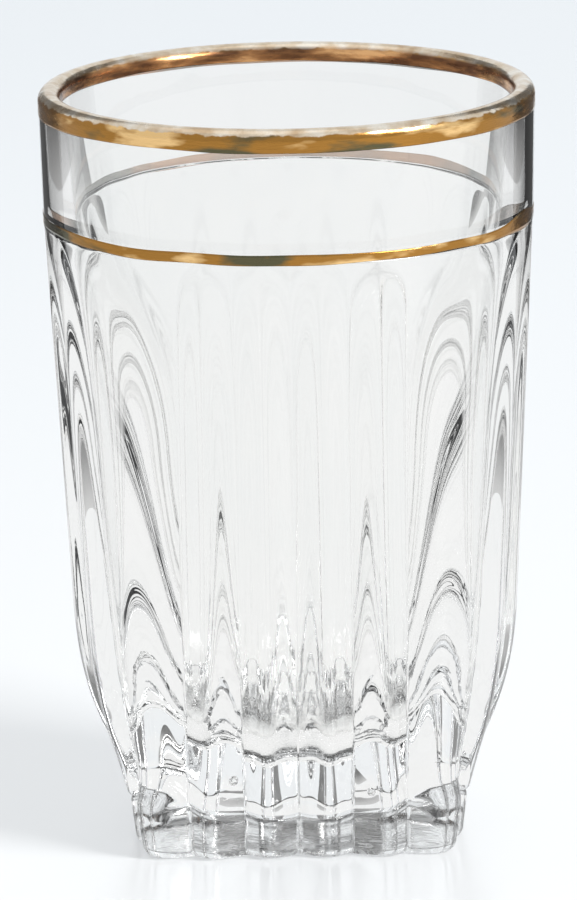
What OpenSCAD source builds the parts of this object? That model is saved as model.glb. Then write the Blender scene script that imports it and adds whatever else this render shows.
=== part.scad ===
// Chai glass: a pressed tumbler with a round gilded mouth that turns into a ribbed, square foot.
// Millimetres, +Z up. The origin is the middle of the foot, on the surface it stands on.
// Each of the four sides has four narrow upright ribs, and each corner has one broad rib.
// The front side faces -Y.

/* [Rim] */
// Diameter of the glass at its rim
rim_d = 62; // [60:0.5:64]
// Thickness of the wall just below the lip
lip_t = 2.8; // [2.4:0.1:3.2]

/* [Body] */
// Total height of the glass
glass_h = 94; // [92:1:98]
// Radius of the ribs where the sloping flank turns into the upright wall
shoulder_r = 27.8; // [27.4:0.1:28.2]
// Height of that turn
shoulder_z = 28.5; // [27:0.5:30]
// Radius of the plain band where the ribs end
band_r = 30.4; // [30.2:0.1:30.6]
// Height at which the ribs end and the plain band starts
band_z = 76; // [75:0.5:77]

/* [Ribs] */
// Width of one narrow rib
rib_w = 7.25; // [7.1:0.05:7.3]
// Radius of the round valley between two ribs
valley_r = 4.5; // [4.2:0.1:5]

/* [Foot] */
// Height of the foot
foot_h = 5.3; // [4.8:0.1:5.8]
// Distance from the axis to the crests of the foot's lobes
foot_half = 20.2; // [20:0.1:20.6]
// Distance from the axis to the flank's crests where the flank stands on the foot
flank_half = 19.3; // [19:0.1:19.5]
// Radius of the lobes along the sides of the foot
lobe_r = 4.2; // [4:0.1:4.4]
// Radius of the lobe at each corner of the foot
corner_r = 3.3; // [3.1:0.1:3.5]
// Depth of the shallow hollow under the foot
hollow_h = 0.8; // [0.6:0.1:1.2]
// Radius of that hollow
hollow_r = 14; // [12:0.5:15]

/* [Inside] */
// Height of the inside floor above the table
floor_z = 12.5; // [11.5:0.5:14]
// Inner radius where the round bottom meets the side
bowl_r = 14.5; // [14:0.5:15]
// Radius of the rounding between floor and side
bowl_round = 5.5; // [5:0.5:7]
// Inner radius halfway up
waist_r = 21.6; // [21:0.1:22]
// Height of that place
waist_z = 50; // [48:1:54]
// Inner radius where the wall is thickest in the plain band
throat_r = 26.6; // [26.2:0.1:27]
// Height of that place
throat_z = 84; // [83:0.5:86]

/* [Gilding] */
// Thickness of the fired gold film
film_t = 0.06; // [0.04:0.01:0.1]
// Height of the gilded band on the outside of the rim
gilt_out = 2.8; // [2.4:0.1:4]
// Height of the gilded band on the inside of the rim
gilt_in = 2.3; // [2:0.1:3]
// Middle height of the painted line below the rim
line_z = 78; // [77.4:0.1:79.6]
// Height of the painted line's stroke
line_h = 1.4; // [1:0.1:1.8]

/* [Hidden] */
$fn = 96;
rim_r = rim_d / 2;
lip_r = lip_t / 2;
lip_z = glass_h - lip_r;
inner_lip_r = rim_r - lip_t;
side_z = floor_z + bowl_round;
gilt_in_z = glass_h - gilt_in;
core_r = flank_half - 3.5;

// A smooth curve from (z0, r0) to (z1, r1) that leaves with slope m0 and arrives with slope m1
function span(z, z0, r0, m0, z1, r1, m1) =
    let (l = z1 - z0, u = (z - z0) / l)
    (2 * u * u * u - 3 * u * u + 1) * r0
    + (u * u * u - 2 * u * u + u) * m0 * l
    + (3 * u * u - 2 * u * u * u) * r1
    + (u * u * u - u * u) * m1 * l;

// Outer radius over the rib crests at height z
function crest(z) =
    z < shoulder_z
    ? span(z, foot_h, flank_half, 0.62, shoulder_z, shoulder_r, 0.075)
    : span(z, shoulder_z, shoulder_r, 0.075, band_z, band_r, 0.036);

// Outer radius of the plain band at height z
function band(z) = band_r + (rim_r - band_r) * (z - band_z) / (lip_z - band_z);

// Inner radius of the drinking space at height z, between the round bottom and the throat
function bore(z) =
    z < waist_z
    ? span(z, side_z, bowl_r, 0.42, waist_z, waist_r, 0.09)
    : span(z, waist_z, waist_r, 0.09, throat_z, throat_r, 0.22);

// Inner radius between the throat and the lip
function flare(z) =
    throat_r + (inner_lip_r - throat_r) * (z - throat_z) / (lip_z - throat_z);

// A point on the round lip, grown by g; a = 0 is outside and 180 is inside
function lip_point(a, g) = [rim_r - lip_r + (lip_r + g) * cos(a), lip_z + (lip_r + g) * sin(a)];

flank_pts = [for (i = [0 : 7]) let (z = foot_h + (shoulder_z - foot_h) * i / 8) [crest(z), z]];
wall_pts = [for (i = [0 : 5]) let (z = shoulder_z + (band_z - shoulder_z) * i / 6) [crest(z), z]];
lip_pts = [for (i = [0 : 8]) lip_point(i * 22.5, 0)];
flare_pts = [[flare(gilt_in_z), gilt_in_z]];
bore_pts = [for (i = [0 : 11]) let (z = throat_z + (side_z - throat_z) * i / 12) [bore(z), z]];
bowl_pts = [
    for (i = [0 : 6])
        let (a = i * 15)
        [bowl_r - bowl_round + bowl_round * cos(a), side_z - bowl_round * sin(a)]
];

// How far in front of the axis a rounded square of half width h and squareness n lies at offset x
function square_y(h, x, n) = pow(pow(h, n) - pow(x, n), 1 / n);

// The axis of a valley's cutter where the valley number k has its bottom on that rounded square
function cutter_at(k, z, h, n) =
    let (
        x = abs(k) * rib_w,
        y = square_y(h, x, n),
        nx = pow(x, n - 1),
        ny = pow(y, n - 1),
        m = norm([nx, ny])
    )
    [sign(k) * (x + valley_r * nx / m), -(y + valley_r * ny / m), z];

// A round rod along the line from a to b, longer by some length at each end
module rod(a, b, r, below, above) {
    d = b - a;
    l = norm(d);
    translate(a)
        rotate([0, acos(d[2] / l), atan2(d[1], d[0])])
            translate([0, 0, -below])
                cylinder(h = l + below + above, r = r, $fn = 64);
}

// One valley: steep beside the base, then ever flatter until it runs out at the plain band
module rib_valley(k) {
    low = cutter_at(k, foot_h, flank_half - 1.4, 4);
    mid = cutter_at(k, 18, crest(18) - 1.9, 3);
    high = cutter_at(k, 34, crest(34) - 1.6, 2.2);
    top = cutter_at(k, band_z, band_r + 0.12, 2);
    rod(low, mid, valley_r, 3, 5);
    rod(mid, high, valley_r, 5, 5);
    rod(high, top, valley_r, 5, 8);
}

// The blank: the solid of revolution over the rib crests, with the drinking space in it
module blank() {
    rotate_extrude()
        polygon(concat(
            [[0, 0], [core_r, 0], [core_r, foot_h]],
            flank_pts,
            wall_pts,
            [[band_r, band_z]],
            lip_pts,
            flare_pts,
            bore_pts,
            bowl_pts,
            [[0, floor_z]]
        ));
}

// The broad rib that runs from each corner of the foot up into the round body
module corner_rib() {
    low = (foot_half - corner_r) * sqrt(2) - 0.9;
    rod([low, 0, foot_h - 2], [shoulder_r - corner_r - 0.5, 0, shoulder_z], corner_r, 0, 0);
}

// The foot: a square of overlapping round lobes that meet in sharp creases
module foot() {
    c = foot_half - corner_r;
    translate([-c, -c, 0])
        cube([2 * c, 2 * c, foot_h]);
    for (i = [0 : 3])
        rotate([0, 0, i * 90]) {
            for (k = [-1.5 : 1 : 1.5])
                translate([k * rib_w, lobe_r - foot_half, 0])
                    cylinder(h = foot_h, r = lobe_r, $fn = 64);
            translate([c, c, 0])
                cylinder(h = foot_h, r = corner_r, $fn = 64);
        }
}

// The hollow under the foot is a shallow part of a large ball
module underside_hollow() {
    ball_r = (hollow_r * hollow_r + hollow_h * hollow_h) / (2 * hollow_h);
    translate([0, 0, hollow_h - ball_r])
        sphere(r = ball_r, $fn = 240);
}

module glass_body() {
    color([0.86, 0.89, 0.9, 0.45])
        difference() {
            union() {
                difference() {
                    union() {
                        blank();
                        for (i = [0 : 3])
                            rotate([0, 0, 45 + i * 90])
                                corner_rib();
                    }
                    for (i = [0 : 3])
                        rotate([0, 0, i * 90])
                            for (k = [-2 : 2])
                                rib_valley(k);
                }
                foot();
            }
            underside_hollow();
        }
}

module rim_gilding() {
    low_z = glass_h - gilt_out;
    color([0.72, 0.52, 0.22])
        rotate_extrude()
            polygon(concat(
                [[band(low_z), low_z], [band(low_z) + film_t, low_z]],
                [for (i = [0 : 8]) lip_point(i * 22.5, film_t)],
                [[flare(gilt_in_z) - film_t, gilt_in_z], [flare(gilt_in_z), gilt_in_z]],
                [for (i = [8 : -1 : 0]) lip_point(i * 22.5, 0)]
            ));
}

module gold_line() {
    z0 = line_z - line_h / 2;
    z1 = line_z + line_h / 2;
    color([0.75, 0.55, 0.24])
        rotate_extrude()
            polygon([
                [band(z0), z0],
                [band(z0) + film_t, z0],
                [band(z1) + film_t, z1],
                [band(z1), z1]
            ]);
}

glass_body();
rim_gilding();
gold_line();
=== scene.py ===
# %% [markdown]
# # A chai glass
# A pressed tea tumbler: the mouth is round and gilded, a thin gold line is painted below it,
# and the ribbed body turns into a square foot of rounded lobes. The scene is in metres, in the
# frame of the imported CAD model: the foot stands on z = 0 and its front side faces -Y. The
# shapes are worked out in millimetres, and each mesh is brought to metres when it is made.

# %% Load the frame
import math
import numpy as np
import bpy
from mathutils import Matrix, Vector


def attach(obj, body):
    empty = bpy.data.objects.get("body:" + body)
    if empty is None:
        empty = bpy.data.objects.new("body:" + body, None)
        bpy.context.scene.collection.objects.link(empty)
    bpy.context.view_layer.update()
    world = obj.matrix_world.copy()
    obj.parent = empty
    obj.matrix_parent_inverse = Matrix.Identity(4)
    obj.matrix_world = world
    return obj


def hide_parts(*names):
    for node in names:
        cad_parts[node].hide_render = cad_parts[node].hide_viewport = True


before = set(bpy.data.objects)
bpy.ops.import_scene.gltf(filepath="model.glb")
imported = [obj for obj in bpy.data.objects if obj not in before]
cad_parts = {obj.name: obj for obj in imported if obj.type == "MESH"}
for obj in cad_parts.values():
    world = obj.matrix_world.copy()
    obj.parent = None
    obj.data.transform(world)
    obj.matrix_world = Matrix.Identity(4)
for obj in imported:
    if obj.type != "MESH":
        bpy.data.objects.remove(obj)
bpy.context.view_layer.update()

MM = 0.001
scene = bpy.context.scene

# %% [markdown]
# ## Camera
# The photograph looks slightly down on the glass from far away, with a long lens, and leans a
# little to one side. A camera can be turned by hand until it fits, but it is more exact to work
# it out. One point, half way up the axis, is the target: the camera sits on a line through it,
# the lens follows from how many pixels of the frame a metre covers, and a small shift puts the
# target where the photograph has it.

# %% Camera
FRAME_W, FRAME_H = 577, 900
CAM_DIST = 1.2
CAM_RISE = math.radians(12.76)
CAM_ROLL = math.radians(-1.04)
PX_PER_M = 8000
TARGET = Vector((0, 0, 0.047))
TARGET_PX = (292.8, 454.4)
SENSOR_MM = 36
SIGHT_M = 20

cam_data = bpy.data.cameras.new("camera")
cam = bpy.data.objects.new("camera", cam_data)
scene.collection.objects.link(cam)
cam.location = TARGET + CAM_DIST * Vector((0, -math.cos(CAM_RISE), math.sin(CAM_RISE)))
look = (TARGET - cam.location).to_track_quat("-Z", "Y").to_matrix().to_4x4()
cam.rotation_euler = (look @ Matrix.Rotation(CAM_ROLL, 4, "Z")).to_euler()
cam_data.sensor_fit = "VERTICAL"
cam_data.sensor_height = SENSOR_MM
cam_data.lens = SENSOR_MM * CAM_DIST * PX_PER_M / FRAME_H
cam_data.shift_x = (FRAME_W / 2 - TARGET_PX[0]) / FRAME_H
cam_data.shift_y = (TARGET_PX[1] - FRAME_H / 2) / FRAME_H
cam_data.clip_end = SIGHT_M
scene.camera = cam
print("lens:", round(cam_data.lens, 1), "mm at", CAM_DIST, "m")

# %% [markdown]
# ## The shape of the pressed glass
# A round solid with carved flutes is what CAD does well, but real pressed glass has no sharp
# cuts: the mould is soft, and the ribs melt into each other. A sculpted or bevelled mesh could
# show that, but it would be hard to keep even. So the skin is a formula: for each height it
# gives the distance from the axis in every direction. The outline over the ribs in the middle
# of a side comes first. It has three smooth curves, for the side that leans out above the foot,
# the shoulder and the nearly upright wall, and a straight plain band above them.

# %% Smooth curves
CURVE_FROM, CURVE_TO, CURVE_STEP = -20.0, 120.0, 0.1


def span(z, z0, r0, m0, z1, r1, m1):
    """A smooth curve from (z0, r0) to (z1, r1) with the slopes m0 and m1 at its ends."""
    length = z1 - z0
    u = (z - z0) / length
    return ((2 * u**3 - 3 * u**2 + 1) * r0 + (u**3 - 2 * u**2 + u) * m0 * length
            + (3 * u**2 - 2 * u**3) * r1 + (u**3 - u**2) * m1 * length)


def bell(steps, reach):
    """The weights of a bell curve at these steps from its middle; together they make 1."""
    weights = np.exp(-0.5 * (steps / reach) ** 2)
    return weights / weights.sum()


def melted(curve, reach):
    """The same curve with its kinks rounded over a few millimetres, as hot glass rounds them."""
    z = np.arange(CURVE_FROM, CURVE_TO, CURVE_STEP)
    steps = np.arange(-3 * reach, 3 * reach + CURVE_STEP / 2, CURVE_STEP)
    r = np.pad([curve(v) for v in z], len(steps), mode="edge")
    soft = np.convolve(r, bell(steps, reach), "same")[len(steps):-len(steps)]
    return lambda height: float(np.interp(height, z, soft))


def table_curve(table, reach):
    """A soft curve through a short table of (height, value) pairs."""
    heights, values = zip(*table)
    return melted(lambda z: np.interp(z, heights, values), reach)


print("curves are kept from", CURVE_FROM, "to", CURVE_TO, "mm")

# %% Outline over the ribs
FOOT_H, LEAN_FROM_R, LEAN_FROM_SLOPE = 5.3, 20.7, 0.4
LEAN_Z, LEAN_R, LEAN_SLOPE = 13.0, 24.1, 0.52
SHOULDER_Z, SHOULDER_R, SHOULDER_SLOPE = 28.5, 27.95, 0.06
WALL_SLOPE = 0.05
BAND_Z, BAND_R = 76.0, 30.4
GLASS_H, RIM_R, LIP_R = 94.0, 30.8, 1.35
LIP_Z = GLASS_H - LIP_R


def crest_lines(z):
    """Distance of the rib crests in the middle of a side from the axis, before melting."""
    if z < LEAN_Z:
        return span(max(z, FOOT_H), FOOT_H, LEAN_FROM_R, LEAN_FROM_SLOPE,
                    LEAN_Z, LEAN_R, LEAN_SLOPE)
    if z < SHOULDER_Z:
        return span(z, LEAN_Z, LEAN_R, LEAN_SLOPE, SHOULDER_Z, SHOULDER_R, SHOULDER_SLOPE)
    if z < BAND_Z:
        return span(z, SHOULDER_Z, SHOULDER_R, WALL_SLOPE, BAND_Z, BAND_R, WALL_SLOPE)
    return BAND_R + (RIM_R - BAND_R) * (z - BAND_Z) / (LIP_Z - BAND_Z)


crest = melted(crest_lines, 2.0)
print("crests at 10, 28 and 76 mm:", [round(crest(z), 1) for z in (10, 28, 76)])

# %% [markdown]
# The plan of the glass changes with height. At the foot it is a square with rounded corners, at
# the rim a circle. Two drawn outlines could be blended, but a superellipse goes from one to the
# other with a single number, its squareness: 2 is a circle, and 8 is nearly a square.

# %% Plan of the glass
NPHI = 864
phi = np.arange(NPHI) * 2 * math.pi / NPHI
squareness = table_curve([(5.3, 8.0), (7, 5.2), (9.5, 3.7), (12, 2.95), (16, 2.38), (20, 2.12),
                          (26, 2)], 1.0)


def plan(half, n):
    """Radius of a rounded square in each direction, and the distance from its side's middle."""
    c, s = np.abs(np.cos(phi)), np.abs(np.sin(phi))
    r = half / (c**n + s**n) ** (1 / n)
    return r, np.minimum(r * s, r * c)


print("columns round the glass:", NPHI, "squareness at 12 mm:", round(squareness(12), 2))

# %% [markdown]
# The ribs stand at the same places across each side from bottom to top, with creases between
# them one rib's width apart, and one broad rib is left for each corner. An arc over each rib
# meets the next one in a sharp crease and a wave meets it in a round one. The skin blends the
# two, because the creases are sharper near the foot than higher up.

# %% Ribs across a side
RIB_W = 7.25
ARC_PART, ARC_END = 0.93, 0.3676


def rib_swell(side, half, n, soft):
    """How far the ribs fill out: 1 on a crest, 0 in a crease; soft rounds off the creases."""
    corner = half / 2 ** (1 / n)
    narrow = np.abs(side / RIB_W % 1 * 2 - 1)
    broad = np.clip((corner - side) / (corner - 2 * RIB_W), 0, 1)
    u = np.where(side < 2 * RIB_W, narrow, broad)
    arc = (np.sqrt(1 - (ARC_PART * u) ** 2) - ARC_END) / (1 - ARC_END)
    wave = (1 + np.cos(math.pi * u)) / 2
    return arc + (wave - arc) * soft


print("ribs on each side: 4, of", RIB_W, "mm")

# %% [markdown]
# The creases grow shallow towards the top and run out under the gold line. No two ribs of a
# pressed glass are quite alike, so a few slow waves round the glass make some a little deeper.

# %% Ribs of the body
full_depth = table_curve([(5.3, 1.9), (12, 1.8), (20, 1.7), (28, 1.5), (50, 1.3), (68, 1.2)], 3.0)
round_off = table_curve([(5.3, 0.5), (14, 0.6), (50, 0.8)], 3.0)
UNEVEN = (1 + 0.1 * np.sin(3 * phi + 0.6) + 0.08 * np.sin(7 * phi + 2.2)
          + 0.05 * np.sin(13 * phi))
RUN_OUT, RIB_TOP = 54.0, 77.0


def rib_depth(z):
    """Depth of the creases at height z, which run out slowly towards their upper end."""
    k = min(max((z - RUN_OUT) / (RIB_TOP - RUN_OUT), 0.0), 1.0)
    return full_depth(z) * (1 - k * k)


def body_row(z):
    """Outer radius all round at height z, for the ribs above the foot."""
    n = squareness(z)
    r, side = plan(crest(z), n)
    swell = rib_swell(side, crest(z), n, round_off(z))
    return r - rib_depth(z) * UNEVEN * (1 - swell)


print("crease depth at 12 and 70 mm:", round(rib_depth(12), 2), round(rib_depth(70), 2))

# %% [markdown]
# The ribs come down the leaning sides and go on in the lobes of the foot. Only a fine groove
# parts them, lowest in the middle of each side and rising towards the corners, where it fades
# away. A separate foot could be joined to the body, but then the seam would show in the glass.
# So each row near the groove is a blend of a lobe row and a rib row, less the groove.

# %% Lobes of the foot
FOOT_HALF, FOOT_FLARE, FOOT_SQUARENESS = 20.3, 0.12, 8.0
LOBE_DEPTH, LOBE_SOFT = 1.9, 0.45
FOOT_EDGE = 1.5


def foot_row(z):
    """Outer radius all round at height z, for the lobes of the foot with their round edge."""
    r, side = plan(FOOT_HALF + FOOT_FLARE * z, FOOT_SQUARENESS)
    swell = rib_swell(side, FOOT_HALF, FOOT_SQUARENESS, LOBE_SOFT)
    k = max(FOOT_EDGE - z, 0.0)
    edge = FOOT_EDGE - math.sqrt(FOOT_EDGE**2 - k * k)
    return r - LOBE_DEPTH * (1 - swell) - edge, side


print("radius of the foot at 3 mm:", round(foot_row(3.0)[0].min(), 1), "to",
      round(foot_row(3.0)[0].max(), 1))

# %% Groove between lobes and ribs
LOBES_ONLY_TO, RIBS_ONLY_FROM = FOOT_H - 1.5, 10
GROOVE_Z, GROOVE_RISE, GROOVE_DEPTH = FOOT_H - 0.1, 1.8, 0.35
GROOVE_DOWN, GROOVE_UP = 0.8, 0.7
GROOVE_ENDS_AT, GROOVE_FADES_OVER = 17.0, 2.5
BLEND, BLEND_AT_CORNER = 0.2, 3.6


def outer_row(z):
    """The whole outer skin at height z: lobes, groove, and ribs above it."""
    lobes, side = foot_row(z)
    if z < LOBES_ONLY_TO:
        return lobes
    ribs = body_row(z)
    if z > RIBS_ONLY_FROM:
        return ribs
    line = GROOVE_Z + GROOVE_RISE * np.minimum(side / (2 * RIB_W), 1) ** 2
    t = z - line
    fade = np.clip((GROOVE_ENDS_AT - side) / GROOVE_FADES_OVER, 0, 1)
    below = 1 - np.sqrt(np.clip(1 - np.clip(1 + t / GROOVE_DOWN, 0, 1) ** 2, 0, 1))
    above = np.clip(1 - t / GROOVE_UP, 0, 1) ** 2
    groove = GROOVE_DEPTH * fade * np.where(t < 0, below, above)
    share = np.clip(0.5 + t / (BLEND + BLEND_AT_CORNER * (1 - fade)), 0, 1)
    return lobes + (ribs - lobes) * share - groove


print("groove:", GROOVE_DEPTH, "mm deep, from", round(GROOVE_Z, 1), "mm up")

# %% [markdown]
# ## Building the skin
# Each row of the skin is a closed loop of points at one height. The rows run from the middle of
# the underside, out and up over the foot, the ribs and the lip, and down the inside to the
# middle of the drinking space. Rows lie close together where the shape changes fast, as at the
# groove and at the upper end of the ribs. The last two stretches of heights share their row at
# 77.4 mm, and the faces without area between its two copies leave a fine edge in the shading.

# %% Rows from the underside to the lip
HOLLOW_R, HOLLOW_H, HOLLOW_ROWS = 14.0, 0.8, 8
BORDER_PARTS = (0.3, 0.65)
EDGE_DEGREES = range(0, 90, 9)
ROW_HEIGHTS = [(FOOT_EDGE, 4, 9), (4.1, 8, 66), (8.3, 28, 60), (28.7, 64, 50),
               (64.4, RIB_TOP + 0.4, 46), (77.4, LIP_Z, 28)]


def ring(radius, z):
    """A row: points all round at a radius, or at a radius for each direction."""
    r = np.broadcast_to(np.asarray(radius, float), phi.shape)
    return np.stack([r * np.sin(phi), -r * np.cos(phi), np.full_like(phi, z)], 1)


rows = []
for i in range(1, HOLLOW_ROWS + 1):
    r = HOLLOW_R * i / HOLLOW_ROWS
    rows.append(ring(r, HOLLOW_H * (1 - (r / HOLLOW_R) ** 2)))
for k in BORDER_PARTS:
    rows.append(ring(HOLLOW_R + (outer_row(0.0) - HOLLOW_R) * k, 0.0))
for a in EDGE_DEGREES:
    z = FOOT_EDGE * (1 - math.cos(math.radians(a)))
    rows.append(ring(outer_row(z), z))
for z in np.concatenate([np.linspace(*part) for part in ROW_HEIGHTS]):
    rows.append(ring(outer_row(z), z))
print("rows outside:", len(rows))

# %% [markdown]
# The inside of a pressed glass is made by a smooth round plunger, so it has no ribs: its outline
# has an even slope in the upper wall and draws in towards a round bottom. A kink in it would
# show as a hard line through all the ribs, so the joint between wall and bottom is rounded too,
# along the outline's own length. The lip between the two skins is a half circle, melted round
# by the flame.

# %% Outline of the drinking space
FLOOR_Z = 12.5
BOWL_Z, BOWL_R, BOWL_SLOPE = 18.0, 14.5, 0.42
WAIST_Z, WAIST_R, WAIST_SLOPE = 50.0, 21.8, 0.15
THROAT_Z, THROAT_R, THROAT_SLOPE = 78.0, 26.95, 0.08
BOWL_FULLNESS = 0.91
SIDE_POINTS, BOWL_POINTS, EVEN_STEPS = 400, 150, 800


def bore_lines(z):
    """Inner radius of the drinking space at height z above its round bottom, before melting."""
    if z < WAIST_Z:
        return span(z, BOWL_Z, BOWL_R, BOWL_SLOPE, WAIST_Z, WAIST_R, WAIST_SLOPE)
    if z < THROAT_Z:
        return span(z, WAIST_Z, WAIST_R, WAIST_SLOPE, THROAT_Z, THROAT_R, THROAT_SLOPE)
    inner_lip = RIM_R - 2 * LIP_R
    return THROAT_R + (inner_lip - THROAT_R) * (z - THROAT_Z) / (LIP_Z - THROAT_Z)


def bowl_point(a):
    """A point on the round bottom, from its upper edge at 0 to the axis at a quarter turn."""
    return (BOWL_R * math.cos(a) ** BOWL_FULLNESS,
            BOWL_Z - (BOWL_Z - FLOOR_Z) * math.sin(a) ** BOWL_FULLNESS)


def inner_outline(reach):
    """Points down the drinking space from the lip to the axis, with the joint melted round."""
    side = [(bore_lines(z), z) for z in np.linspace(LIP_Z, BOWL_Z, SIDE_POINTS)]
    bowl = [bowl_point(a) for a in np.linspace(0.02, math.pi / 2, BOWL_POINTS)]
    path = np.array(side + bowl)
    path = np.concatenate([path, path[-2::-1] * (-1, 1)])
    walked = np.append(0, np.cumsum(np.hypot(*np.diff(path, axis=0).T)))
    step = walked[-1] / EVEN_STEPS
    even = np.stack([np.interp(np.arange(EVEN_STEPS + 1) * step, walked, path[:, i])
                     for i in (0, 1)], 1)
    far = int(3 * reach / step)
    weights = bell(np.arange(-far, far + 1) * step, reach)
    soft = np.stack([np.convolve(even[:, i], weights, "same") for i in (0, 1)], 1)
    soft[:far] = even[:far]
    return soft[:EVEN_STEPS // 2]


bore = melted(bore_lines, 2.0)
inside = inner_outline(2.2)
print("drinking space from", round(inside[-1][1], 1), "mm up; radius at 50 mm:",
      round(bore(50), 1))

# %% Rows over the lip and down the inside
LIP_DEGREES, INSIDE_EVERY = range(10, 180, 10), 3
for a in LIP_DEGREES:
    a = math.radians(a)
    rows.append(ring(RIM_R - LIP_R + LIP_R * math.cos(a), LIP_Z + LIP_R * math.sin(a)))
for r, z in inside[::INSIDE_EVERY]:
    rows.append(ring(r, z))
print("rows in all:", len(rows))

# %% [markdown]
# Neighbouring rows are joined with four-sided faces, and a single point closes each end, so
# that the glass is one closed solid and light bends in it as it does in real glass. The
# photograph shows small bubbles in the thick base. A bubble is air shut in the glass, so it is
# a small ball whose faces look inward, a little taller than wide and dimpled at both ends.

# %% Bubbles in the base
BUBBLES = [((-8.4, -19.6, 10.6), 0.6), ((9.3, -19.0, 8.8), 0.5)]
BUBBLE_SIDES, BUBBLE_TALL = 24, 1.2


def add_bubble(verts, faces, centre, radius, n=BUBBLE_SIDES):
    """Adds the points and faces of a small closed ball of air to the glass."""
    start = len(verts)
    verts.append((centre[0], centre[1], centre[2] + radius))
    for i in range(1, n // 2):
        a = math.pi * i / (n // 2)
        for j in range(n):
            b = 2 * math.pi * j / n
            verts.append((centre[0] + radius * math.sin(a) * math.cos(b),
                          centre[1] + radius * math.sin(a) * math.sin(b),
                          centre[2] + radius * BUBBLE_TALL * math.cos(a)))
    verts.append((centre[0], centre[1], centre[2] - radius))
    end = len(verts) - 1
    for j in range(n):
        k = (j + 1) % n
        faces.append((start, start + 1 + k, start + 1 + j))
        faces.append((end, end - n + j, end - n + k))
        for i in range(n // 2 - 2):
            a, b = start + 1 + i * n, start + 1 + (i + 1) * n
            faces.append((a + j, a + k, b + k, b + j))


print("bubbles:", len(BUBBLES))

# %% Join the rows into one closed mesh


def smooth_piece(name, verts, faces):
    """A smoothly shaded object from points in millimetres and their faces."""
    mesh = bpy.data.meshes.new(name)
    mesh.from_pydata((np.array(verts) * MM).tolist(), [], faces)
    mesh.shade_smooth()
    piece = bpy.data.objects.new(name, mesh)
    scene.collection.objects.link(piece)
    return piece


def closed_skin(name, rings, first, last):
    """The glass from its rows of points, closed by one point at each end."""
    verts = np.concatenate([np.concatenate(rings), [first, last]]).tolist()
    j = np.arange(NPHI)
    k = (j + 1) % NPHI
    faces = []
    for i in range(len(rings) - 1):
        a, b = i * NPHI, (i + 1) * NPHI
        faces += np.stack([a + j, a + k, b + k, b + j], 1).tolist()
    end = len(rings) * NPHI
    faces += np.stack([k, j, np.full_like(j, end)], 1).tolist()
    top = (len(rings) - 1) * NPHI
    faces += np.stack([top + j, top + k, np.full_like(j, end + 1)], 1).tolist()
    for centre, radius in BUBBLES:
        add_bubble(verts, faces, centre, radius)
    return smooth_piece(name, verts, faces)


inner_middle = (0, 0, inside[-1][1] - 0.01)
glass = closed_skin("pressed_glass", rows, (0, 0, HOLLOW_H), inner_middle)
print("glass faces:", len(glass.data.polygons))

# %% [markdown]
# ## Gilding
# The gold is liquid gold, brushed on by hand while the glass turns, and fired. It could be a
# colour on the glass, but it is a metal that hides the glass below it, so each band is a very
# thin closed shell that follows the glass. Its edges waver as the brush did, which a plain ring
# would not show. The faces that lie on the glass get a second material, for the gold's back.

# %% A thin shell along a path of profile points
FILM_GAP, FILM_T = 0.008, 0.045
WAVES = (2, 3, 5, 7, 11, 16)


def thin_shell(name, profile_at):
    """A closed band round the glass; profile_at(angle) gives points and outward directions."""
    loops = []
    for angle in phi:
        pts, out = profile_at(angle)
        path = np.concatenate([pts + out * (FILM_GAP + FILM_T), (pts + out * FILM_GAP)[::-1]])
        loops.append(np.stack([path[:, 0] * math.sin(angle), -path[:, 0] * math.cos(angle),
                               path[:, 1]], 1))
    m = len(loops[0])
    faces = []
    for i in range(NPHI):
        a, b = i * m, (i + 1) % NPHI * m
        for j in range(m):
            k = (j + 1) % m
            faces.append((a + j, b + j, b + k, a + k))
    piece = smooth_piece(name, np.concatenate(loops), faces)
    on_glass = [j >= m // 2 for j in range(m)] * NPHI
    piece.data.polygons.foreach_set("material_index", np.array(on_glass, dtype=np.int32))
    return piece


def waver(angle, seed, size):
    """A slow hand-drawn wobble that closes on itself round the glass."""
    total = 0.0
    for i, n in enumerate(WAVES):
        total += math.sin(n * angle + seed * (i + 1.7)) / (1 + 0.35 * i)
    return size * total / 3


print("film:", FILM_T, "mm")

# %% Gilded rim
GILT_OUT, GILT_OUT_WAVER = 2.8, 0.16
GILT_IN, GILT_IN_WAVER = 2.2, 0.14


def rim_profile(angle):
    """Points over the lip from the outer edge of the gold to its inner edge."""
    low = GLASS_H - GILT_OUT + waver(angle, 1.3, GILT_OUT_WAVER)
    inner = GLASS_H - GILT_IN + waver(angle, 4.1, GILT_IN_WAVER)
    pts, out = [], []
    for z in np.linspace(low, LIP_Z, 7)[:-1]:
        pts.append((crest(z), z))
        out.append((1, 0))
    for a in range(0, 181, 12):
        a = math.radians(a)
        pts.append((RIM_R - LIP_R + LIP_R * math.cos(a), LIP_Z + LIP_R * math.sin(a)))
        out.append((math.cos(a), math.sin(a)))
    for z in np.linspace(LIP_Z, inner, 5)[1:]:
        pts.append((bore(z), z))
        out.append((-1, 0.2))
    return np.array(pts), np.array(out)


rim_gold = thin_shell("rim_gold", rim_profile)
print("rim gold faces:", len(rim_gold.data.polygons))

# %% [markdown]
# The line below the rim is one stroke of a fine brush. Where its end runs over its beginning it
# is broader and a little higher, and the same shell shows that with a bulge at one angle.

# %% Painted line
LINE_Z, LINE_Z_WAVER = 78.0, 0.28
LINE_H, LINE_H_WAVER = 1.25, 0.22
JOIN_AT, JOIN_REACH = math.radians(72), 0.16
JOIN_LIFT, JOIN_BROADER = 0.3, 1.1


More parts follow.
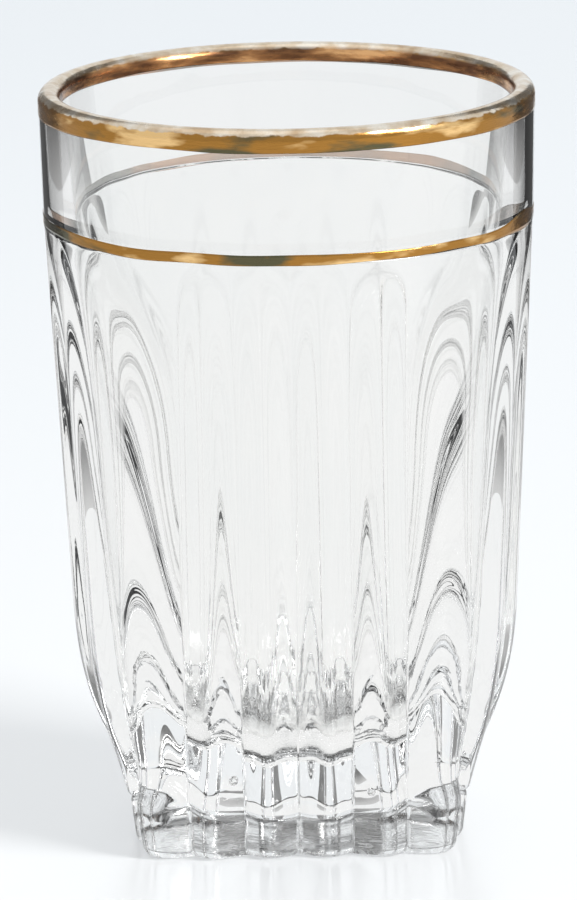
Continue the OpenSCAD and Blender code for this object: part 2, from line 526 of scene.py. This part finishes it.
def line_profile(angle):
    """Points up the stroke: it wavers, and is broader where its two ends overlap."""
    off = (angle - JOIN_AT + math.pi) % (2 * math.pi) - math.pi
    join = math.exp(-(off / JOIN_REACH) ** 2)
    mid = LINE_Z + waver(angle, 2.2, LINE_Z_WAVER) + JOIN_LIFT * join
    half = (LINE_H + waver(angle, 5.6, LINE_H_WAVER) + JOIN_BROADER * join) / 2
    pts = [(crest(z), z) for z in np.linspace(mid - half, mid + half, 6)]
    return np.array(pts), np.tile((1.0, 0.0), (6, 1))


gold_line = thin_shell("brushed_line", line_profile)
print("line faces:", len(gold_line.data.polygons))

# %% [markdown]
# ## Finishes
# Pictures wrapped round the glass would show their pixels up close, so every finish is worked
# out from the same few parts: noise in the object's own coordinates, a ramp that turns it into
# colour or gloss, and a mask that says where on the glass it applies. The next cells have these
# parts, so that the finishes below them stay short.

# %% Noise and colour ramps


def new_material(name):
    """A node material with its Principled shader."""
    mat = bpy.data.materials.new(name)
    mat.use_nodes = True
    return mat, mat.node_tree, mat.node_tree.nodes["Principled BSDF"]


def noise(tree, scale, stretch=(1, 1, 1), detail=3.0):
    """Noise in the object's own coordinates; a small stretch draws it out along that axis."""
    coord = tree.nodes.new("ShaderNodeTexCoord")
    mapping = tree.nodes.new("ShaderNodeMapping")
    mapping.inputs["Scale"].default_value = stretch
    node = tree.nodes.new("ShaderNodeTexNoise")
    node.inputs["Scale"].default_value = scale
    node.inputs["Detail"].default_value = detail
    tree.links.new(coord.outputs["Object"], mapping.inputs["Vector"])
    tree.links.new(mapping.outputs["Vector"], node.inputs["Vector"])
    return node.outputs["Fac"]


def ramp(tree, source, stops):
    """A colour ramp on a value; a stop is a place and a colour or a grey."""
    node = tree.nodes.new("ShaderNodeValToRGB")
    while len(node.color_ramp.elements) < len(stops):
        node.color_ramp.elements.new(0.5)
    for element, (place, colour) in zip(node.color_ramp.elements, stops):
        element.position = place
        element.color = (*colour, 1) if isinstance(colour, tuple) else (colour,) * 3 + (1,)
    tree.links.new(source, node.inputs["Fac"])
    return node.outputs["Color"]


print("noise and ramps ready")

# %% Places, masks and mixing


def math_node(tree, operation, a, b):
    """One sum, product or other step between two values."""
    node = tree.nodes.new("ShaderNodeMath")
    node.operation = operation
    for socket, value in zip(node.inputs, (a, b)):
        if isinstance(value, (int, float)):
            socket.default_value = value
        else:
            tree.links.new(value, socket)
    return node.outputs[0]


def place_of(tree):
    """The height above the table and the distance from the axis, in metres."""
    coord = tree.nodes.new("ShaderNodeTexCoord")
    split = tree.nodes.new("ShaderNodeSeparateXYZ")
    tree.links.new(coord.outputs["Object"], split.inputs[0])
    flat = tree.nodes.new("ShaderNodeVectorMath")
    flat.operation = "MULTIPLY"
    flat.inputs[1].default_value = (1, 1, 0)
    tree.links.new(coord.outputs["Object"], flat.inputs[0])
    length = tree.nodes.new("ShaderNodeVectorMath")
    length.operation = "LENGTH"
    tree.links.new(flat.outputs[0], length.inputs[0])
    return split.outputs["Z"], length.outputs["Value"]


def mask(tree, value, start, full):
    """0 where the value hasn't come to start, 1 beyond full, and a straight line between."""
    node = tree.nodes.new("ShaderNodeMapRange")
    node.inputs["From Min"].default_value = start
    node.inputs["From Max"].default_value = full
    tree.links.new(value, node.inputs["Value"])
    return node.outputs["Result"]


def mix(tree, factor, a, b):
    """Colour a where the factor is 0, and colour b where it is 1."""
    node = tree.nodes.new("ShaderNodeMix")
    node.data_type = "RGBA"
    tree.links.new(factor, node.inputs[0])
    for socket, value in ((node.inputs[6], a), (node.inputs[7], b)):
        if isinstance(value, tuple):
            socket.default_value = (*value, 1)
        else:
            tree.links.new(value, socket)
    return node.outputs[2]


def bump(tree, height, strength, distance):
    """Fine relief that bends the light without moving the surface."""
    node = tree.nodes.new("ShaderNodeBump")
    node.inputs["Strength"].default_value = strength
    node.inputs["Distance"].default_value = distance
    tree.links.new(height, node.inputs["Height"])
    return node.outputs["Normal"]


print("masks and mixing ready")

# %% [markdown]
# Clear glass is a Principled surface with full transmission; a Glass shader would do too, but
# the Principled one exports. Pressed glass is never perfectly even: a faint noise, drawn out
# upward like the flow of the cooling glass, bends its surface. The plunger leaves stronger
# marks on the inner floor. The underside has been pushed over many tables, so it is rough
# there. The glass leaves out diffuse rays, because the floor would grow dark under it. No limit
# is set for how often light may bounce: the renderer's own limit ends a ray black when the wall
# has reflected it too often, and that adds to the dark lines between the ribs.

# %% Clear glass
GLASS_IOR = 1.52
TINTS = [(0.35, (0.975, 0.98, 0.975)), (0.65, (0.998, 0.997, 0.99))]
UNDERSIDE_FROM, UNDERSIDE_FULL = 0.0011, 0.0007
SCUFFS = [(0.35, 0.05), (0.7, 0.55)]
HANDLED = 0.03
INNER_FLOOR_Z, INNER_FLOOR_R = (0.0078, 0.0084), (0.0172, 0.0160)
FLOW_RELIEF, MARK_RELIEF, RELIEF_H = 0.16, 0.12, 0.0002

clear_mat, tree, shader = new_material("clear_pressed_glass")
shader.inputs["Transmission Weight"].default_value = 1.0
shader.inputs["IOR"].default_value = GLASS_IOR
tint = ramp(tree, noise(tree, 60), TINTS)
height, radius = place_of(tree)
worn = mask(tree, height, UNDERSIDE_FROM, UNDERSIDE_FULL)
handled = math_node(tree, "MULTIPLY", mask(tree, noise(tree, 240), 0.45, 0.9), HANDLED)
scuffs = ramp(tree, noise(tree, 1500), SCUFFS)
rough = math_node(tree, "ADD", handled, math_node(tree, "MULTIPLY", worn, scuffs))
in_bowl = math_node(tree, "MULTIPLY", mask(tree, height, *INNER_FLOOR_Z),
                    mask(tree, radius, *INNER_FLOOR_R))
flow_relief = math_node(tree, "MULTIPLY", noise(tree, 200, (1, 1, 0.06), 0.0), FLOW_RELIEF)
marks = math_node(tree, "MULTIPLY", in_bowl, noise(tree, 1500, (1, 1, 0.03), 1.0))
relief = math_node(tree, "ADD", flow_relief, math_node(tree, "MULTIPLY", marks, MARK_RELIEF))
tree.links.new(tint, shader.inputs["Base Color"])
tree.links.new(rough, shader.inputs["Roughness"])
tree.links.new(bump(tree, relief, 1.0, RELIEF_H), shader.inputs["Normal"])
glass.data.materials.append(clear_mat)
glass.visible_diffuse = False
print("made:", clear_mat.name)

# %% [markdown]
# The gold on the rim is amber on the outside, with dark olive patches that are painted dark
# reflections and bright patches that are painted glints, over the gold's own uneven tone. Low on
# the inside of the rim it is painted copper brown as painted shade for the dark room it faces,
# with painted orange glints. Along the top it is worn pale where lips and stacking have rubbed
# it, and the pale colour there is also a painted highlight from the light above. Noise mixes
# these colours, with the height and the distance from the axis to say where each applies. Brush
# marks run round the rim, so the noise is drawn out that way: it changes faster with height than
# on the way round.

# %% Gold films
# The darkest and the brightest gold colours are a painted dark reflection and a painted glint;
# amber is the gold's own tone.
GOLD_PAINTED_DARK_REFLECTION, GOLD_AMBER, GOLD_PAINTED_GLINT = (0.11, 0.1, 0.055), (0.37, 0.18, 0.04), (0.85, 0.56, 0.25)
GOLD_TONE_AND_PAINTED_REFLECTIONS = [(0.39, GOLD_PAINTED_DARK_REFLECTION), (0.47, GOLD_AMBER), (0.55, GOLD_AMBER), (0.62, GOLD_PAINTED_GLINT)]
# The pale top colours are worn gold with a painted highlight on it.
WORN_TOP_AND_PAINTED_HIGHLIGHT = [(0.35, (0.58, 0.43, 0.28)), (0.5, (0.75, 0.63, 0.48)), (0.65, (0.88, 0.82, 0.72))]
# The brown inside colours are painted shade, up to a painted orange glint.
INSIDE_PAINTED_SHADE_AND_GLINTS = [(0.35, (0.13, 0.06, 0.03)), (0.5, (0.36, 0.17, 0.07)), (0.66, (0.8, 0.45, 0.2))]
RAGGED = 0.0009
TOP_Z, INNER_R, INNER_Z = (0.09372, 0.09388), (0.02975, 0.02945), (0.0937, 0.0932)


def gold_finish(name, worn_top_and_painted_light):
    """Brushed gold of uneven tone, with painted dark reflections and painted glints in its
    patches.
    """
    mat, tree, shader = new_material(name)
    shader.inputs["Metallic"].default_value = 1.0
    # Patches of painted dark reflections and painted glints over the gold's own tone.
    colour = ramp(tree, noise(tree, 75, (1, 1, 3.5), 4.0), GOLD_TONE_AND_PAINTED_REFLECTIONS)
    if worn_top_and_painted_light:
        height, radius = place_of(tree)
        ragged = math_node(tree, "MULTIPLY", noise(tree, 700, (1, 1, 1), 5.0), RAGGED)
        top = mask(tree, math_node(tree, "ADD", height, ragged), *TOP_Z)
        inner = mask(tree, math_node(tree, "ADD", radius, ragged), *INNER_R)
        # Painted highlight on the worn top of the lip.
        worn_and_highlight = ramp(tree, noise(tree, 300, (1, 1, 1), 5.0), WORN_TOP_AND_PAINTED_HIGHLIGHT)
        # Painted shade and painted glints low on the inside of the rim.
        inside_shade_and_glints = ramp(tree, noise(tree, 160, (1, 1, 5), 4.0), INSIDE_PAINTED_SHADE_AND_GLINTS)
        shaded_inside = math_node(tree, "MULTIPLY", inner, mask(tree, height, *INNER_Z))
        colour = mix(tree, shaded_inside, mix(tree, top, colour, worn_and_highlight), inside_shade_and_glints)
    tree.links.new(colour, shader.inputs["Base Color"])
    gloss = ramp(tree, noise(tree, 420, (1, 1, 4)), [(0.3, 0.1), (0.75, 0.32)])
    tree.links.new(gloss, shader.inputs["Roughness"])
    tree.links.new(bump(tree, noise(tree, 600, (1, 1, 5)), 0.35, 0.0001), shader.inputs["Normal"])
    return mat


rim_mat = gold_finish("fired_gold", True)
line_mat = gold_finish("painted_gold", False)
print("made:", rim_mat.name, line_mat.name)

# %% [markdown]
# Where the gold is seen through the glass, only the dull pinkish back of the film shows. The
# shells have it as their second material.

# %% Back of the gold
BACK_TINTS = [(0.4, (0.42, 0.42, 0.4)), (0.6, (0.72, 0.52, 0.4))]
back_mat, tree, shader = new_material("back_of_gold")
shader.inputs["Metallic"].default_value = 0.3
shader.inputs["Roughness"].default_value = 0.6
tree.links.new(ramp(tree, noise(tree, 60), BACK_TINTS), shader.inputs["Base Color"])
for film, mat in ((rim_gold, rim_mat), (gold_line, line_mat)):
    film.data.materials.append(mat)
    film.data.materials.append(back_mat)
print("made:", back_mat.name)

# %% [markdown]
# ## Setting
# The glass stands on a pale, slightly glossy table in a light room. A table of one colour would
# do, but the table grows cooler and darker towards the back as the light falls off, so its colour
# is painted darker with depth, a little unevenly: painted shade. Seen through the glass, the
# floor shows an even glow instead, with the same painted shade towards the back: the real table
# is lit through the glass, and the renderer would show only a dark shadow there.

# %% Floor
FLOOR_HALF, FLOOR_GAP = 3, 0.00003
NEAR_Y, FAR_Y = -0.15, 0.6
# The far colours, darker and cooler, are painted shade where the light falls off towards the
# back.
FLOOR_NEAR, FLOOR_FAR_PAINTED_SHADE = (0.9, 0.9, 0.895), (0.79, 0.82, 0.845)
THROUGH_NEAR, THROUGH_FAR_PAINTED_SHADE = (0.92, 0.915, 0.905), (0.86, 0.885, 0.905)

floor_mesh = bpy.data.meshes.new("floor")
corners = [(-1, -1), (1, -1), (1, 1), (-1, 1)]
floor_mesh.from_pydata([(x * FLOOR_HALF, y * FLOOR_HALF, -FLOOR_GAP) for x, y in corners],
                       [], [(0, 1, 2, 3)])
floor = bpy.data.objects.new("floor", floor_mesh)
scene.collection.objects.link(floor)
floor_mat, tree, shader = new_material("pale_table")
coord = tree.nodes.new("ShaderNodeTexCoord")
split = tree.nodes.new("ShaderNodeSeparateXYZ")
tree.links.new(coord.outputs["Object"], split.inputs[0])
patchy = math_node(tree, "MULTIPLY", noise(tree, 3), 0.1)
# Painted shade: the colour grows darker and cooler towards the back, a little unevenly.
depth = mask(tree, math_node(tree, "ADD", split.outputs["Y"], patchy), NEAR_Y, FAR_Y)
tree.links.new(mix(tree, depth, FLOOR_NEAR, FLOOR_FAR_PAINTED_SHADE), shader.inputs["Base Color"])
shader.inputs["Roughness"].default_value = 0.25
through = tree.nodes.new("ShaderNodeEmission")
tree.links.new(mix(tree, depth, THROUGH_NEAR, THROUGH_FAR_PAINTED_SHADE), through.inputs["Color"])
path = tree.nodes.new("ShaderNodeLightPath")
blend = tree.nodes.new("ShaderNodeMixShader")
tree.links.new(path.outputs["Is Transmission Ray"], blend.inputs["Fac"])
tree.links.new(shader.outputs[0], blend.inputs[1])
tree.links.new(through.outputs[0], blend.inputs[2])
tree.links.new(blend.outputs[0], tree.nodes["Material Output"].inputs["Surface"])
floor_mat.cycles.emission_sampling = "NONE"
floor_mesh.materials.append(floor_mat)
print("floor ready")

# %% [markdown]
# Glass shows its surroundings more than itself, so the room matters. A photographer stands
# white boards behind and above a glass, and dark ones at both sides, which draw the dark edges
# along its ribs. The boards here are glowing cards. The dark ones fade at the table and at
# their top, so that no hard edge shows in the glass, and the camera doesn't see them.

# %% Cards


def soft_card(name, place, size, colour, strength, aim=(0, 0, 0.05)):
    """A glowing card, as a studio's white or dark board."""
    w, h = size[0] / 2, size[1] / 2
    mesh = bpy.data.meshes.new(name)
    mesh.from_pydata([(-w, -h, 0), (w, -h, 0), (w, h, 0), (-w, h, 0)], [], [(0, 1, 2, 3)])
    card = bpy.data.objects.new(name, mesh)
    scene.collection.objects.link(card)
    card.location = place
    card.rotation_euler = (Vector(aim) - Vector(place)).to_track_quat("Z", "Y").to_euler()
    mat = bpy.data.materials.new(name)
    mat.use_nodes = True
    nodes = mat.node_tree.nodes
    nodes.clear()
    glow = nodes.new("ShaderNodeEmission")
    glow.inputs["Color"].default_value = (*colour, 1)
    glow.inputs["Strength"].default_value = strength
    out = nodes.new("ShaderNodeOutputMaterial")
    mat.node_tree.links.new(glow.outputs[0], out.inputs["Surface"])
    mesh.materials.append(mat)
    return card


def soften(card, grey):
    """Let a dark card fade to the room's brightness at the table and at its top."""
    tree = card.data.materials[0].node_tree
    coord = tree.nodes.new("ShaderNodeTexCoord")
    split = tree.nodes.new("ShaderNodeSeparateXYZ")
    tree.links.new(coord.outputs["Generated"], split.inputs[0])
    fade = ramp(tree, split.outputs["Y"], [(0.2, 0.6), (0.22, grey), (0.8, grey), (1.0, 0.8)])
    glow = next(node for node in tree.nodes if node.type == "EMISSION")
    tree.links.new(fade, glow.inputs["Color"])


FLAG_X, FLAG_Y, FLAG_Z, FLAG_SIZE = 0.15, 0.2, 0.15, (0.16, 0.5)
soft_card("back_board", (0, 1.6, 0.6), (1.6, 1.5), (0.86, 0.885, 0.905), 1.0)
for name, side, grey in (("left_flag", -1, 0.2), ("right_flag", 1, 0.15)):
    flag = soft_card(name, (side * FLAG_X, FLAG_Y, FLAG_Z), FLAG_SIZE, (grey,) * 3, 1.0,
                     (0, 0, FLAG_Z))
    soften(flag, grey)
    flag.visible_camera = False
    flag.visible_diffuse = False
    flag.visible_shadow = False
soft_card("top_board", (-0.2, 0.1, 1.4), (1.0, 1.0), (1, 1, 1), 1.1)
print("cards ready")

# %% [markdown]
# One large round lamp gives the soft shadow and the small lights on the gold. The world fills
# in from all sides with a pale, slightly cool grey, so that nothing is lit too brightly.

# %% Lamp and room
KEY_SIZE, KEY_WATTS = 0.7, 18.5
KEY_AT, KEY_AIM = (1.2, -0.8, 1.0), Vector((0, 0, 0.04))
ROOM_COLOUR = (0.83, 0.85, 0.87, 1)

key_data = bpy.data.lights.new("key", "AREA")
key_data.shape = "DISK"
key_data.size = KEY_SIZE
key_data.energy = KEY_WATTS
key = bpy.data.objects.new("key", key_data)
scene.collection.objects.link(key)
key.location = KEY_AT
key.rotation_euler = (KEY_AIM - key.location).to_track_quat("-Z", "Y").to_euler()
world = bpy.data.worlds.new("room")
world.use_nodes = True
world.node_tree.nodes["Background"].inputs["Color"].default_value = ROOM_COLOUR
scene.world = world
scene.view_settings.view_transform = "Standard"
print("lamp and room ready")

# %% [markdown]
# ## Pieces on the body
# Each piece stands for its CAD node, whose part is hidden, and rides on the one body, because
# nothing on a glass moves.

# %% Ride and replace
for piece, node, slot in ((glass, "glass_body", "clear_glass"),
                          (rim_gold, "rim_gilding", "fired_gold"),
                          (gold_line, "gold_line", "painted_gold")):
    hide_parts(node)
    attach(piece, "root")
